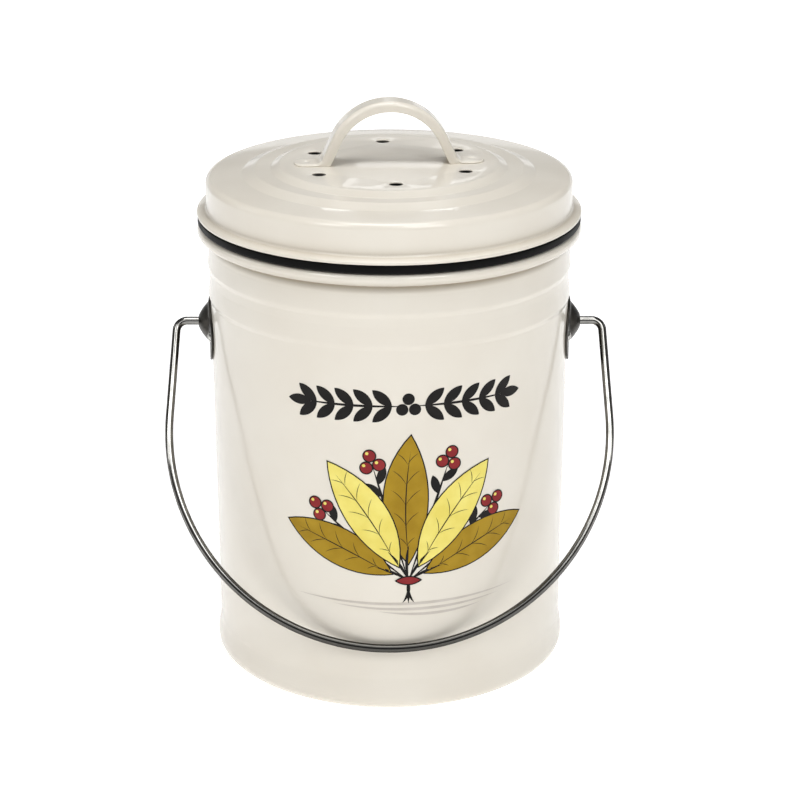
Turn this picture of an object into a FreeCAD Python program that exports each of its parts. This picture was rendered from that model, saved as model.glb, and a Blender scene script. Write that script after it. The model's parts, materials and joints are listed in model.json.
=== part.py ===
import FreeCAD, Part
import math
import os

# A round steel bin for kitchen scraps: a seamed pail with a wire bail, and a vented lift-off lid
# with a seal and a filter. Millimetres, Z up, origin on the floor at the middle of the foot.

V = FreeCAD.Vector

# Steel sheet, and the play that is used all over
sheet = 0.8                # sheet of the pail and the lid
seat_gap = 0.05            # play between pieces that are seated on each other
cut_overrun = 2.0          # how far a cutting shape passes the face that it cuts
coincident = 0.000001      # points closer than this are one point

# Pail side, with its foot, ridges and rolled rim
foot_radius = 80.0         # outside of the foot
foot_corner = 4.0          # bend at the bottom edge
foot_band = 2.0            # upright band above that bend
foot_flare = 8.0           # height over which the foot draws in to the wall
foot_draw_in = 1.3         # how far it draws in
foot_lip = 2.5             # flat turned-in lip that the bin stands on
flare_bend = 12.0          # bend where the flare starts and ends
wall_spread = 1.2          # how much wider the wall is under the rim than above the foot
body_height = 201.5        # floor to the top of the rolled rim
rim_curl = 2.75            # outside radius of the rolled rim's section
rim_end_gap = 0.5          # left between the curl's end and the wall
ridge_count = 2
ridge_top_drop = 10.5      # rim top down to the start of the first ridge
ridge_rise = 8.0           # height of a ridge's slow slope
ridge_return = 2.0         # height of its quick return under the crest
ridge_land = 4.0           # plain wall between two ridges
ridge_depth = 0.7          # how far a crest stands out
ridge_bend = 1.5           # bend at a crest and at the foot of its return

# Bottom pan, trapped between the foot's lip and its flare
pan_rise = 3.2             # panel above the pan's seat
pan_seat = 6.5             # width of the seat, from the pan's outside to its step
pan_step_run = 2.5         # width of the step up to the panel
pan_bend = 1.5             # bend of the step

# Bail ears and their rivets
ear_sheet = 1.0            # sheet of an ear's plate
ear_clear = 2.0            # wall left between the lowest ridge and an ear
ear_half_height = 14.2     # half height of the oval plate
ear_drop = 3.0             # plate's middle below the pivot
boss_radius = 10.3         # cone at its foot
boss_height = 5.8          # cone's tip above the wall
boss_bulge = 0.6           # how far the cone's side swells past a straight one
boss_wall = 1.26           # thickness of the cone along the pivot's axis
boss_lip = 0.82            # flat ring left round the bore at the tip
rivet_radius = 1.5         # rivet's shank
rivet_head_radius = 2.5
rivet_head_height = 1.1
rivet_margin = 0.7         # plate left between the cone and a rivet's head
rivet_edge = 4.5           # rivet's middle to the end of the plate

# Bail, one round wire with headed ends
wire_radius = 1.8
running_gap = 0.08         # radial play of the wire in the ear's bore
head_play = 0.4            # end play of the wire's head inside the cone
head_length = 1.4
bail_stub = 5.3            # straight wire between the ear's tip and the knee
knee_radius = 4.7          # bend of the wire's middle line beside the ear
bail_lean = 3.3            # degrees that the legs spread outwards
bail_rest_height = 30.5    # height of the bow where it leans on the pail's front
bail_rest_gap = 0.3        # left between the resting bow and the wall

# Lid shell
lid_turn = 4.5             # degrees that the lid is turned on the pail, as it was put on
flange_width = 4.1         # flange beyond the skirt
flange_thickness = 1.3     # hemmed flange at its edge
flange_rise = 1.4          # how much higher the flange is at the skirt
flange_bend = 1.2          # bend between the skirt and the flange
flange_edge = 0.6          # rounding of the flange's edge
skirt_height = 16.4        # flange's underside up to the outer edge of the top
lid_corner = 3.0           # bend between the skirt and the top
annulus_width = 16.0       # outer ring of the top
annulus_rise = 1.0
outer_step_run = 5.5
outer_step_rise = 2.0
ring_width = 7.0           # flat ring between the two steps
inner_step_run = 4.0
inner_step_rise = 2.0
step_bend = 2.4            # bend at the top and foot of the steps
vent_count = 6
vent_radius = 2.75
vent_inset = 11.4          # middle of a vent hole to the edge of the raised disc
vent_start = 30.0          # degrees from the handle's line to the first vent hole

# Lid handle, a pressed channel strap
handle_rise = 28.0         # disc up to the top of the strap
handle_lean = 25.0         # degrees that the legs spread outwards
handle_tip_inset = 6.3     # foot's tip to the edge of the raised disc
handle_foot = 11.3         # length of a foot past its leg
strap_width = 12.5
strap_depth = 4.4          # height of the channel
strap_sheet = 1.0
strap_round = 2.2          # rounding along the strap's two upper edges

# Seal between the lid and the pail
gasket_web = 3.9           # band that shows between the flange and the rim
gasket_gap = 0.2           # left between the band and the rim
gasket_inset = 0.2         # band's outside back from the rim's outside
gasket_round = 1.0         # rounding of the band's outer edges
lip_thickness = 2.0        # lips that reach up into the lid and down into the mouth
upper_lip_height = 7.0
lower_lip_depth = 9.0
lower_lip_gap = 1.2        # lower lip back from the mouth
rib_clearance = 0.3        # sealing ribs back from the mouth
rib_count = 2
rib_half_height = 1.1
rib_pitch = 3.6

# Filter and its clips
filter_inset = 4.5         # filter's edge to the edge of the raised disc
filter_thickness = 6.0
filter_round = 1.0
filter_play = 0.1          # filter to the clips, above and below it
clip_count = 3
clip_start = 60.0          # degrees from the handle's line to the first clip
clip_sheet = 0.8
clip_width = 10.0
clip_side_gap = 0.5        # filter's edge to a clip's leg
clip_weld_length = 8.0     # upper leaf that is welded under the lid
clip_hook_length = 5.0     # lower leaf that carries the filter

# What follows from those sizes
lip_radius = foot_radius - foot_corner - foot_lip
band_top = foot_corner + foot_band
flare_top = band_top + foot_flare
wall_low_radius = foot_radius - foot_draw_in
wall_top_radius = wall_low_radius + wall_spread
mouth_radius = wall_top_radius - sheet
curl_height = body_height - rim_curl
curl_middle = mouth_radius + rim_curl
rim_radius = curl_middle + rim_curl
ridge_pitch = ridge_rise + ridge_return + ridge_land
ridge_foot = body_height - ridge_top_drop - ridge_count * ridge_pitch + ridge_land
ear_middle = ridge_foot - ear_clear - ear_half_height
pivot_height = ear_middle + ear_drop
rivet_offset = boss_radius + rivet_head_radius + rivet_margin
ear_half_width = rivet_offset + rivet_edge
bore_radius = wire_radius + running_gap
boss_tip_radius = bore_radius + boss_lip
lid_seat = body_height + gasket_gap + gasket_web
skirt_radius = rim_radius - flange_width
skirt_inside = skirt_radius - sheet
lid_edge = lid_seat + skirt_height
ring_height = lid_edge + annulus_rise + outer_step_rise
disc_height = ring_height + inner_step_rise
outer_step_radius = skirt_radius - annulus_width
ring_radius = outer_step_radius - outer_step_run
inner_step_radius = ring_radius - ring_width
disc_radius = inner_step_radius - inner_step_run
filter_radius = disc_radius - filter_inset
clip_top = disc_height - sheet
filter_top = clip_top - clip_sheet - filter_play


def wall_radius(height):
    # Outside of the plain wall, which spreads evenly from the foot's flare to the rim
    share = (height - flare_top) / (curl_height - flare_top)
    return wall_low_radius + wall_spread * share


pivot_reach = wall_radius(pivot_height) + boss_height


def bend_points(before, corner, after, bend):
    # Start, middle and end of the arc that rounds a corner
    back = (before - corner).normalize()
    ahead = (after - corner).normalize()
    half_angle = back.getAngle(ahead) / 2
    setback = bend / math.tan(half_angle)
    bisector = (back + ahead).normalize()
    middle = corner + bisector * (bend / math.sin(half_angle) - bend)
    return corner + back * setback, middle, corner + ahead * setback


def line_edges(start, end):
    if (end - start).Length < coincident:
        return []
    return [Part.LineSegment(start, end).toShape()]


def path_edges(corners):
    # Lines from corner to corner in the XZ plane; a corner is (x, z) or (x, z, bend)
    points = [V(corner[0], 0, corner[1]) for corner in corners]
    edges = []
    start = points[0]
    for index in range(1, len(corners) - 1):
        if len(corners[index]) == 2:
            edges += line_edges(start, points[index])
            start = points[index]
            continue
        neighbours = points[index - 1], points[index], points[index + 1]
        entry, middle, leave = bend_points(*neighbours, corners[index][2])
        edges += line_edges(start, entry)
        edges.append(Part.Arc(entry, middle, leave).toShape())
        start = leave
    return edges + line_edges(start, points[-1])


def closed_wire(corners):
    points = corners + corners[:1]
    return Part.Wire(path_edges(points))


def spun(wire):
    # The solid that a closed outline in the XZ plane sweeps round the Z axis
    return Part.Face(wire).revolve(V(0, 0, 0), V(0, 0, 1), 360)


def turned(shape, degrees):
    copy = shape.copy()
    copy.rotate(V(0, 0, 0), V(0, 0, 1), degrees)
    return copy


def ridge_corners():
    # Sawtooth ridges from the lowest up: quick return, crest, slow slope
    corners = []
    for index in range(ridge_count):
        low = ridge_foot + index * ridge_pitch
        crest = low + ridge_return
        high = crest + ridge_rise
        corners.append((wall_radius(low), low, ridge_bend))
        corners.append((wall_radius(crest) + ridge_depth, crest, ridge_bend))
        corners.append((wall_radius(high), high, ridge_bend))
    return corners


def side_corners(inset):
    # The pail's side from the foot to the rim, moved in by the inset
    corners = [(foot_radius, band_top, flare_bend), (wall_low_radius, flare_top, flare_bend)]
    corners += ridge_corners()
    return [(x - inset, z, bend) for x, z, bend in corners]


def curl_point(radius, angle):
    return V(curl_middle + radius * math.cos(angle), 0, curl_height + radius * math.sin(angle))


def curl_edges():
    # The rim's roll, from the wall's outside round to its open end and back to the wall's inside
    inside = rim_curl - sheet
    end = -math.acos((rim_end_gap - inside) / rim_curl)
    middle = (math.pi + end) / 2
    inner = [curl_point(inside, angle) for angle in (math.pi, middle, end)]
    outer = [curl_point(rim_curl, angle) for angle in (end, middle, math.pi)]
    edges = [Part.Arc(*inner).toShape()]
    edges += line_edges(inner[-1], outer[0])
    return edges + [Part.Arc(*outer).toShape()]


def make_body_wall():
    outside = [(lip_radius, 0), (foot_radius, 0, foot_corner)] + side_corners(0)
    outside.append((wall_top_radius, curl_height))
    inside = [(mouth_radius, curl_height)] + side_corners(sheet)[::-1]
    inside.append((foot_radius - sheet, sheet, foot_corner - sheet))
    inside.append((lip_radius, sheet))
    edges = path_edges(outside) + curl_edges() + path_edges(inside)
    edges += line_edges(V(lip_radius, 0, sheet), V(lip_radius, 0, 0))
    return spun(Part.Wire(edges)).cut(rivet_holes())


def make_base_pan():
    radius = foot_radius - sheet - seat_gap
    corner = foot_corner - sheet - seat_gap
    low = sheet
    high = low + pan_rise
    step_out = radius - pan_seat
    step_in = step_out - pan_step_run
    top = band_top - foot_band / 2
    under = [(0, high), (step_in, high, pan_bend), (step_out, low, pan_bend), (radius, low, corner)]
    over = [(radius - sheet, top), (radius - sheet, low + sheet, corner - sheet)]
    over += [(step_out, low + sheet, pan_bend), (step_in, high + sheet, pan_bend), (0, high + sheet)]
    return spun(closed_wire(under + [(radius, top)] + over))


def wall_cone(grow):
    # The plain wall beside the ears, grown outwards, as a solid cone
    low = ear_middle - ear_half_height - cut_overrun
    high = max(ear_middle + ear_half_height, pivot_height + boss_radius) + cut_overrun
    radii = wall_radius(low) + grow, wall_radius(high) + grow
    return Part.makeCone(*radii, high - low, V(0, 0, low))


def boss_solid(shift):
    # The ear's cone as a solid about the pivot's axis, moved inwards by the shift
    wall = pivot_reach - boss_height
    root = wall - boss_radius
    tip = V(pivot_reach, 0, boss_tip_radius)
    foot = V(wall, 0, boss_radius)
    outwards = V(foot.z - tip.z, 0, tip.x - foot.x).normalize()
    middle = (tip + foot) / 2 + outwards * boss_bulge
    edges = line_edges(V(root, 0, 0), V(root, 0, boss_radius)) + line_edges(V(root, 0, boss_radius), foot)
    edges.append(Part.Arc(foot, middle, tip).toShape())
    edges += line_edges(tip, V(pivot_reach, 0, 0)) + line_edges(V(pivot_reach, 0, 0), V(root, 0, 0))
    solid = Part.Face(Part.Wire(edges)).revolve(V(0, 0, 0), V(1, 0, 0), 360)
    solid.translate(V(-shift, 0, pivot_height))
    return solid


def rivet_angles():
    swing = math.degrees(rivet_offset / wall_radius(ear_middle))
    return [-swing, swing]


def on_radius(shape, angle):
    # A shape about the X axis, lifted to the rivets' height and turned about the bin's axis
    shape.translate(V(0, 0, ear_middle))
    return turned(shape, angle)


def rivet_holes():
    # Holes for every rivet, through the wall and both ears
    holes = []
    depth = sheet + ear_sheet + boss_height
    start = V(wall_radius(ear_middle) - sheet - cut_overrun, 0, 0)
    for side in (0, 180):
        for angle in rivet_angles():
            hole = Part.makeCylinder(rivet_radius + seat_gap, depth, start, V(1, 0, 0))
            holes.append(on_radius(hole, side + angle))
    return Part.makeCompound(holes)


def make_ear(side):
    # Oval plate bent to the wall, with a hollow cone that the wire's head turns in
    oval = Part.Ellipse(V(0, ear_half_width, 0), V(0, 0, ear_half_height), V(0, 0, 0)).toShape()
    prism = Part.Face(Part.Wire(oval)).extrude(V(pivot_reach, 0, 0))
    prism.translate(V(0, 0, ear_middle))
    plate = wall_cone(seat_gap + ear_sheet).common(prism)
    bore = Part.makeCylinder(bore_radius, pivot_reach, V(boss_height, 0, pivot_height), V(1, 0, 0))
    ear = plate.fuse(boss_solid(0)).removeSplitter()
    ear = turned(ear.cut([boss_solid(boss_wall), bore, wall_cone(seat_gap)]), side)
    return ear.cut(rivet_holes()).Solids[0]


def make_rivet(angle):
    # Domed head on the ear's plate, shank, and a flat head formed inside the wall
    seat = wall_radius(ear_middle) + seat_gap + ear_sheet + seat_gap
    inside = wall_radius(ear_middle) - sheet
    formed = math.sqrt(inside ** 2 - rivet_head_radius ** 2) - seat_gap
    dome = (rivet_head_radius ** 2 + rivet_head_height ** 2) / (2 * rivet_head_height)
    ball = Part.makeSphere(dome, V(seat + rivet_head_height - dome, 0, 0))
    block = Part.makeCylinder(rivet_head_radius, rivet_head_height, V(seat, 0, 0), V(1, 0, 0))
    shank = Part.makeCylinder(rivet_radius, seat - formed, V(formed, 0, 0), V(1, 0, 0))
    tail_height = rivet_head_height / 2
    tail = Part.makeCylinder(rivet_head_radius, tail_height, V(formed - tail_height, 0, 0), V(1, 0, 0))
    rivet = ball.common(block).fuse([shank, tail]).removeSplitter()
    return on_radius(rivet, angle)


def make_rivets(side):
    return Part.makeCompound([make_rivet(side + angle) for angle in rivet_angles()])


def bail_path():
    # Right half of the wire's middle line, from the head in the ear to the bottom of the bow
    lean = math.radians(bail_lean)
    reach = wall_radius(bail_rest_height) + bail_rest_gap + wire_radius
    drop = math.hypot(pivot_height - bail_rest_height, reach)
    knee_start = pivot_reach + bail_stub
    knee_end = knee_start + knee_radius * math.cos(lean)
    knee_drop = knee_radius * (1 - math.sin(lean))
    spread = math.cos(lean) + (1 + math.sin(lean)) * math.tan(lean)
    bow = (knee_end + (drop - knee_drop) * math.tan(lean)) / spread
    bow_middle = drop - bow
    head = V(pivot_reach - boss_wall - head_play - head_length, 0, 0)
    half_turn = (math.pi / 2 - lean) / 2
    knee_bow = V(knee_radius * math.sin(half_turn), 0, -knee_radius * (1 - math.cos(half_turn)))
    knee = [V(knee_start, 0, 0), V(knee_start, 0, 0) + knee_bow, V(knee_end, 0, -knee_drop)]
    angles = -lean, (math.pi / 2 - lean) / 2, math.pi / 2
    arc = [V(bow * math.cos(a), 0, -bow_middle - bow * math.sin(a)) for a in angles]
    edges = line_edges(head, knee[0]) + [Part.Arc(*knee).toShape()]
    edges += line_edges(knee[-1], arc[0]) + [Part.Arc(*arc).toShape()]
    print("bail: drop", round(drop, 2), "bow", round(bow, 2), "rest angle",
          round(math.degrees(math.asin(reach / drop)), 3))
    return Part.Wire(edges), head, math.degrees(math.asin(reach / drop))


def make_bail():
    path, head, rest_angle = bail_path()
    section = Part.Wire(Part.Circle(head, V(1, 0, 0), wire_radius).toShape())
    half = path.makePipeShell([section], True, False)
    knob = Part.makeCylinder(boss_tip_radius, head_length, head, V(1, 0, 0))
    half = half.fuse(knob)
    bail = half.fuse(half.mirror(V(0, 0, 0), V(1, 0, 0))).removeSplitter()
    bail.rotate(V(0, 0, 0), V(1, 0, 0), -rest_angle)
    bail.translate(V(0, 0, pivot_height))
    return bail


def lid_top_corners(drop, growth):
    # The stepped top from its middle outwards, lowered by the drop; growth changes the bends
    rise = step_bend + growth
    dip = step_bend + sheet - growth
    corners = [(0, disc_height - drop), (disc_radius, disc_height - drop, rise)]
    corners.append((inner_step_radius, ring_height - drop, dip))
    corners.append((ring_radius, ring_height - drop, rise))
    corners.append((outer_step_radius, lid_edge + annulus_rise - drop, dip))
    return corners


def make_lid_shell():
    flange_top = lid_seat + flange_thickness
    outside = lid_top_corners(0, sheet)
    outside += [(skirt_radius, lid_edge, lid_corner), (skirt_radius, flange_top + flange_rise, flange_bend)]
    outside += [(rim_radius, flange_top, flange_edge), (rim_radius, lid_seat, flange_edge)]
    inside = [(skirt_inside, lid_seat), (skirt_inside, lid_edge - sheet, lid_corner - sheet)]
    shell = spun(closed_wire(outside + inside + lid_top_corners(sheet, 0)[::-1]))
    vents = []
    for index in range(vent_count):
        depth = sheet + 2 * cut_overrun
        middle = V(disc_radius - vent_inset, 0, clip_top - cut_overrun)
        vent = Part.makeCylinder(vent_radius, depth, middle, V(0, 0, 1))
        vents.append(turned(vent, vent_start + index * 360 / vent_count))
    return turned(shell.cut(vents), lid_turn)


def strap_section(top):
    # The channel's section where the strap is highest, open downwards
    half = strap_width / 2
    inner = half - strap_sheet
    outside = [(-half, -strap_depth), (-half, 0, strap_round), (half, 0, strap_round), (half, -strap_depth)]
    bend = strap_round - strap_sheet
    inside = [(inner, -strap_depth), (inner, -strap_sheet, bend), (-inner, -strap_sheet, bend)]
    section = closed_wire(outside + inside + [(-inner, -strap_depth)])
    section.rotate(V(0, 0, 0), V(0, 0, 1), 90)
    section.translate(V(0, 0, top))
    return section


def make_lid_handle():
    lean = math.radians(handle_lean)
    tip = disc_radius - handle_tip_inset
    leg = tip - handle_foot
    spread = math.cos(lean) - math.tan(lean) + math.sin(lean) * math.tan(lean)
    arch = (leg - (handle_rise - strap_sheet) * math.tan(lean)) / spread
    middle = disc_height + handle_rise - arch
    half_angle = (math.pi / 2 + lean) / 2
    angles = math.pi / 2, half_angle, lean
    points = [V(arch * math.cos(a), 0, middle + arch * math.sin(a)) for a in angles]
    below = disc_height - strap_depth - cut_overrun
    run = points[-1].z - below
    end = points[-1] + V(run * math.tan(lean), 0, -run)
    path = Part.Wire([Part.Arc(*points).toShape()] + line_edges(points[-1], end))
    half = path.makePipeShell([strap_section(disc_height + handle_rise)], True, False)
    waste = Part.makeBox(4 * tip, 2 * strap_width, disc_height, V(-tip, -strap_width, 0))
    pad = strap_width / 2
    plate = Part.makeBox(tip - leg + strap_sheet - pad, strap_width, strap_sheet,
                         V(leg - strap_sheet, -pad, disc_height))
    end_round = Part.makeCylinder(pad, strap_sheet, V(tip - pad, 0, disc_height))
    half = half.cut(waste).fuse([plate, end_round])
    handle = half.fuse(half.mirror(V(0, 0, 0), V(1, 0, 0))).removeSplitter()
    return turned(handle, lid_turn)


def make_gasket():
    outer = rim_radius - gasket_inset
    band_low = lid_seat - gasket_web
    upper_out = skirt_inside - seat_gap
    upper_in = upper_out - lip_thickness
    lower_out = mouth_radius - lower_lip_gap
    lower_in = lower_out - lip_thickness
    low = band_low - lower_lip_depth
    high = lid_seat + upper_lip_height
    corners = [(lower_in, low), (lower_out, low)]
    for index in range(rib_count):
        middle = low + rib_pitch * (index + 1) - rib_pitch / 2
        corners.append((lower_out, middle - rib_half_height))
        corners.append((mouth_radius - rib_clearance, middle))
        corners.append((lower_out, middle + rib_half_height))
    corners += [(lower_out, band_low), (outer, band_low, gasket_round), (outer, lid_seat, gasket_round)]
    corners += [(upper_out, lid_seat), (upper_out, high), (upper_in, high), (upper_in, lid_seat)]
    return spun(closed_wire(corners + [(lower_in, lid_seat)]))


def make_filter():
    low = filter_top - filter_thickness
    corners = [(0, low), (filter_radius, low, filter_round), (filter_radius, filter_top, filter_round)]
    return spun(closed_wire(corners + [(0, filter_top)]))


def make_clip(index):
    # A bent strip: a leaf welded under the lid, a leg past the filter's edge and a hook under it
    inside = filter_radius + clip_side_gap
    outside = inside + clip_sheet
    hook = filter_top - filter_thickness - filter_play
    weld_end = outside - clip_weld_length
    hook_end = outside - clip_hook_length
    upper = [(weld_end, clip_top), (outside, clip_top)]
    lower = [(outside, hook - clip_sheet), (hook_end, hook - clip_sheet), (hook_end, hook)]
    corners = upper + lower + [(inside, hook), (inside, clip_top - clip_sheet), (weld_end, clip_top - clip_sheet)]
    clip = Part.Face(closed_wire(corners)).extrude(V(0, clip_width, 0))
    clip.translate(V(0, -clip_width / 2, 0))
    return turned(clip, lid_turn + clip_start + index * 360 / clip_count)


def all_parts():
    parts = {"body_wall": make_body_wall(), "base_pan": make_base_pan()}
    for name, side in (("right", 0), ("left", 180)):
        parts[name + "_ear"] = make_ear(side)
        parts[name + "_ear_rivets"] = make_rivets(side)
    parts["bail"] = make_bail()
    parts["lid_shell"] = make_lid_shell()
    parts["lid_handle"] = make_lid_handle()
    parts["gasket"] = make_gasket()
    parts["charcoal_filter"] = make_filter()
    for index in range(clip_count):
        parts["filter_clip_" + str(index + 1)] = make_clip(index)
    return parts


os.makedirs("parts", exist_ok=True)
for name, shape in all_parts().items():
    shape.exportStep("parts/" + name + ".step")
    print(name, "solids", len(shape.Solids), "volume", round(shape.Volume, 1), "valid", shape.isValid())
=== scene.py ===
import bpy
import bmesh
import json
from math import acos, asin, atan2, cos, hypot, pi, radians, sin, sqrt, tan
from mathutils import Matrix, Vector, noise


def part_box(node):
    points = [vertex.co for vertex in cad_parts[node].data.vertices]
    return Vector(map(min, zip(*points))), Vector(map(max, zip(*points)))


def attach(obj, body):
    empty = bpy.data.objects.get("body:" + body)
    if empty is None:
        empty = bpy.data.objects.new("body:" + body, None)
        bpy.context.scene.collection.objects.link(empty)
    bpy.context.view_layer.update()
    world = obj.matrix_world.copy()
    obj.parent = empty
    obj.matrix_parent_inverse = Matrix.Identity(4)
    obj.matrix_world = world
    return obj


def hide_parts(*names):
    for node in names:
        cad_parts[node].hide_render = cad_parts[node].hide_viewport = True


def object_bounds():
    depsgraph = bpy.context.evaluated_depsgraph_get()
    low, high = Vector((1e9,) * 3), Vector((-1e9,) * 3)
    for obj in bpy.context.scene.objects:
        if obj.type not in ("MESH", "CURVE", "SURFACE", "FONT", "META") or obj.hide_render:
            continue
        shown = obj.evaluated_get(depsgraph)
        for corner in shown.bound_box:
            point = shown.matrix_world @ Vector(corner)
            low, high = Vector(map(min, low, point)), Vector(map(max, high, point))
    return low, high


# Kitchen scrap bin: enamelled pail with a wire bail, and a vented lid with a seal and a filter
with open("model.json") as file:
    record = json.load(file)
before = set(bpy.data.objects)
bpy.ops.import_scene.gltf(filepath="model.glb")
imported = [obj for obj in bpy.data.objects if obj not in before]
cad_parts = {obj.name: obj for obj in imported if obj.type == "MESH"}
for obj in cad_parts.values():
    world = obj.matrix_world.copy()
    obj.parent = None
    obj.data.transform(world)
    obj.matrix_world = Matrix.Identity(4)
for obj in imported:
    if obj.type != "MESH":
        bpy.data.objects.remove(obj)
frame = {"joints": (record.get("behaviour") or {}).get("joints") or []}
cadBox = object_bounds()
scene = bpy.context.scene
joints = {joint["name"]: joint for joint in frame["joints"]}
mm = 0.001
fullTurn = 2 * pi
xAxis, yAxis, zAxis = Vector((1, 0, 0)), Vector((0, 1, 0)), Vector((0, 0, 1))
mesh = {"steps": 192, "bendSegments": 6, "edgeSegments": 3, "weld": 0.001 * mm, "sharp": radians(40)}


# Mesh helpers

def setback(before, corner, after, bend):  # where a bend starts, measured back from its corner
    halfAngle = (before - corner).angle(after - corner) / 2
    return bend / tan(halfAngle)


def addWire(bm, corners, closed=False):  # corners are (across, up) or (across, up, bend), in the XZ plane
    points = [Vector((corner[0], 0, corner[1])) for corner in corners]
    verts = [bm.verts.new(point) for point in points]
    count = len(verts)
    for index in range(count if closed else count - 1):
        bm.edges.new((verts[index], verts[(index + 1) % count]))
    for index, corner in enumerate(corners):
        if len(corner) == 3 and corner[2] > 0:
            back = setback(points[index - 1], points[index], points[(index + 1) % count], corner[2])
            bmesh.ops.bevel(bm, geom=[verts[index]], offset=back, offset_type="OFFSET", affect="VERTICES",
                            segments=mesh["bendSegments"], profile=0.5, material=-1)
    return verts[0], verts[-1]


def spinVert(bm, vert, centre, angle, steps):  # an arc in the XZ plane, drawn on from a vertex
    arc = bmesh.ops.spin(bm, geom=[vert], cent=centre, axis=yAxis, angle=angle, steps=steps)
    return arc["geom_last"][0]


def wiresOf(bm):
    return bm.verts[:] + bm.edges[:]


def vertsIn(geom):
    return [part for part in geom if isinstance(part, bmesh.types.BMVert)]


def edgesIn(geom):
    return [part for part in geom if isinstance(part, bmesh.types.BMEdge)]


def spinRound(bm, axis=zAxis, steps=mesh["steps"]):  # all the wires, once round
    bmesh.ops.spin(bm, geom=wiresOf(bm), cent=(0, 0, 0), axis=axis, angle=fullTurn, steps=steps,
                   use_merge=True)


def turnRound(bm, angle):  # about the bin's own axis
    bmesh.ops.rotate(bm, verts=bm.verts, cent=(0, 0, 0), matrix=Matrix.Rotation(angle, 3, "Z"))


def closeUp(bm):  # seams and poles closed, faces outwards
    bmesh.ops.remove_doubles(bm, verts=bm.verts, dist=mesh["weld"])
    bmesh.ops.dissolve_degenerate(bm, edges=bm.edges, dist=mesh["weld"])
    bmesh.ops.recalc_face_normals(bm, faces=bm.faces)


def nextRing(bm, edges):  # one more ring of a tube or strap
    made = bmesh.ops.extrude_edge_only(bm, edges=edges)["geom"]
    return vertsIn(made), edgesIn(made)


def mirrorAcross(bm):  # the other half, with the seam closed
    bmesh.ops.mirror(bm, geom=wiresOf(bm) + bm.faces[:], axis="X", merge_dist=mesh["weld"])
    closeUp(bm)


def thicken(bm, faces, step):  # flat faces to a closed slab
    made = bmesh.ops.extrude_face_region(bm, geom=faces, use_keep_orig=True)["geom"]
    bmesh.ops.translate(bm, verts=vertsIn(made), vec=step)
    bmesh.ops.recalc_face_normals(bm, faces=bm.faces)


def roundEdges(bm, edges, width, segments=mesh["edgeSegments"]):
    bmesh.ops.bevel(bm, geom=edges, offset=width, offset_type="OFFSET", affect="EDGES",
                    segments=segments, profile=0.5, material=-1)


def joinInto(bm, part):
    data = bpy.data.meshes.new("part")
    part.to_mesh(data)
    part.free()
    bm.from_mesh(data)
    bpy.data.meshes.remove(data)


def swellAt(share):  # nothing at both ends, full in the middle
    return 4 * share * (1 - share)


def makePiece(name, bm, body, materials, replaced=()):  # replaced are CAD nodes
    data = bpy.data.meshes.new(name)
    bm.to_mesh(data)
    bm.free()
    for material in materials:
        data.materials.append(material)
    data.shade_smooth()
    data.set_sharp_from_angle(angle=mesh["sharp"])
    piece = bpy.data.objects.new(name, data)
    scene.collection.objects.link(piece)
    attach(piece, body)
    if replaced:
        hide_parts(*replaced)
    print("piece", name, "on", body, "with", len(data.polygons), "faces")
    return piece


# Material helpers

def linear(*channels):  # from 0 to 255 as a picture shows them, to the shader's own scale
    shares = [channel / 255 for channel in channels]
    return [s / 12.92 if s < 0.04045 else ((s + 0.055) / 1.055) ** 2.4 for s in shares] + [1.0]


def newMaterial(name, constants):
    material = bpy.data.materials.new(name)
    material.use_nodes = True
    tree = material.node_tree
    shader = tree.nodes["Principled BSDF"]
    for socket, value in constants.items():
        shader.inputs[socket].default_value = value
    return material, tree, shader


def setSocket(tree, socket, value):  # a link or a constant
    if isinstance(value, bpy.types.NodeSocket):
        tree.links.new(value, socket)
    else:
        socket.default_value = value


def addNode(tree, kind, inputs):
    node = tree.nodes.new("ShaderNode" + kind)
    for socket, value in inputs.items():
        setSocket(tree, node.inputs[socket], value)
    return node


def objectCoords(tree, stretch=(1, 1, 1)):
    coords = addNode(tree, "TexCoord", {}).outputs["Object"]
    return addNode(tree, "Mapping", {"Vector": coords, "Scale": stretch}).outputs["Vector"]


def noiseOn(tree, coords, scale, detail=2.0):
    return addNode(tree, "TexNoise", {"Vector": coords, "Scale": scale, "Detail": detail}).outputs["Fac"]


def rampOn(tree, factor, stops):  # two stops, each (place, colour)
    node = addNode(tree, "ValToRGB", {"Fac": factor})
    for element, (place, colour) in zip(node.color_ramp.elements, stops):
        element.position = place
        element.color = colour
    return node.outputs["Color"]


noiseSpan = (0.3, 0.7)  # where most of a noise's values lie


def rangeOn(tree, factor, goal, span=noiseSpan):
    inputs = {"Value": factor}
    inputs["From Min"], inputs["From Max"] = span
    inputs["To Min"], inputs["To Max"] = goal
    return addNode(tree, "MapRange", inputs).outputs["Result"]


def blendOn(tree, factor, start, end):  # between two colours
    inputs = {"Factor": factor, "A": start, "B": end}
    node = tree.nodes.new("ShaderNodeMix")
    node.data_type = "RGBA"
    for socket in node.inputs:
        if socket.enabled and socket.name in inputs:
            setSocket(tree, socket, inputs[socket.name])
    return next(socket for socket in node.outputs if socket.enabled)


def bumpOn(tree, height, distance, below=None):
    inputs = {"Height": height, "Distance": distance, "Strength": 1.0}
    if below:
        inputs["Normal"] = below
    return addNode(tree, "Bump", inputs).outputs["Normal"]


# Finishes

enamel = {
    "cream": linear(231, 225, 213), "creamThin": linear(227, 220, 207), "patches": 22,
    # painted shade: this colour, reach and span darken the enamel in its corners and creases
    "creaseShade": linear(164, 147, 117), "creaseShadeReach": 7.0 * mm, "creaseShadeSpan": (0.45, 0.92),
    # painted shade: the colour under the pail's rim
    "rimShadeColour": linear(132, 116, 88),
    "waves": 26, "waveHeight": 0.22 * mm, "peel": 620, "peelHeight": 0.012 * mm,
    "roughness": (0.17, 0.27), "specular": 0.4, "coat": 0.4, "coatRoughness": 0.04,
}


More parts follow.
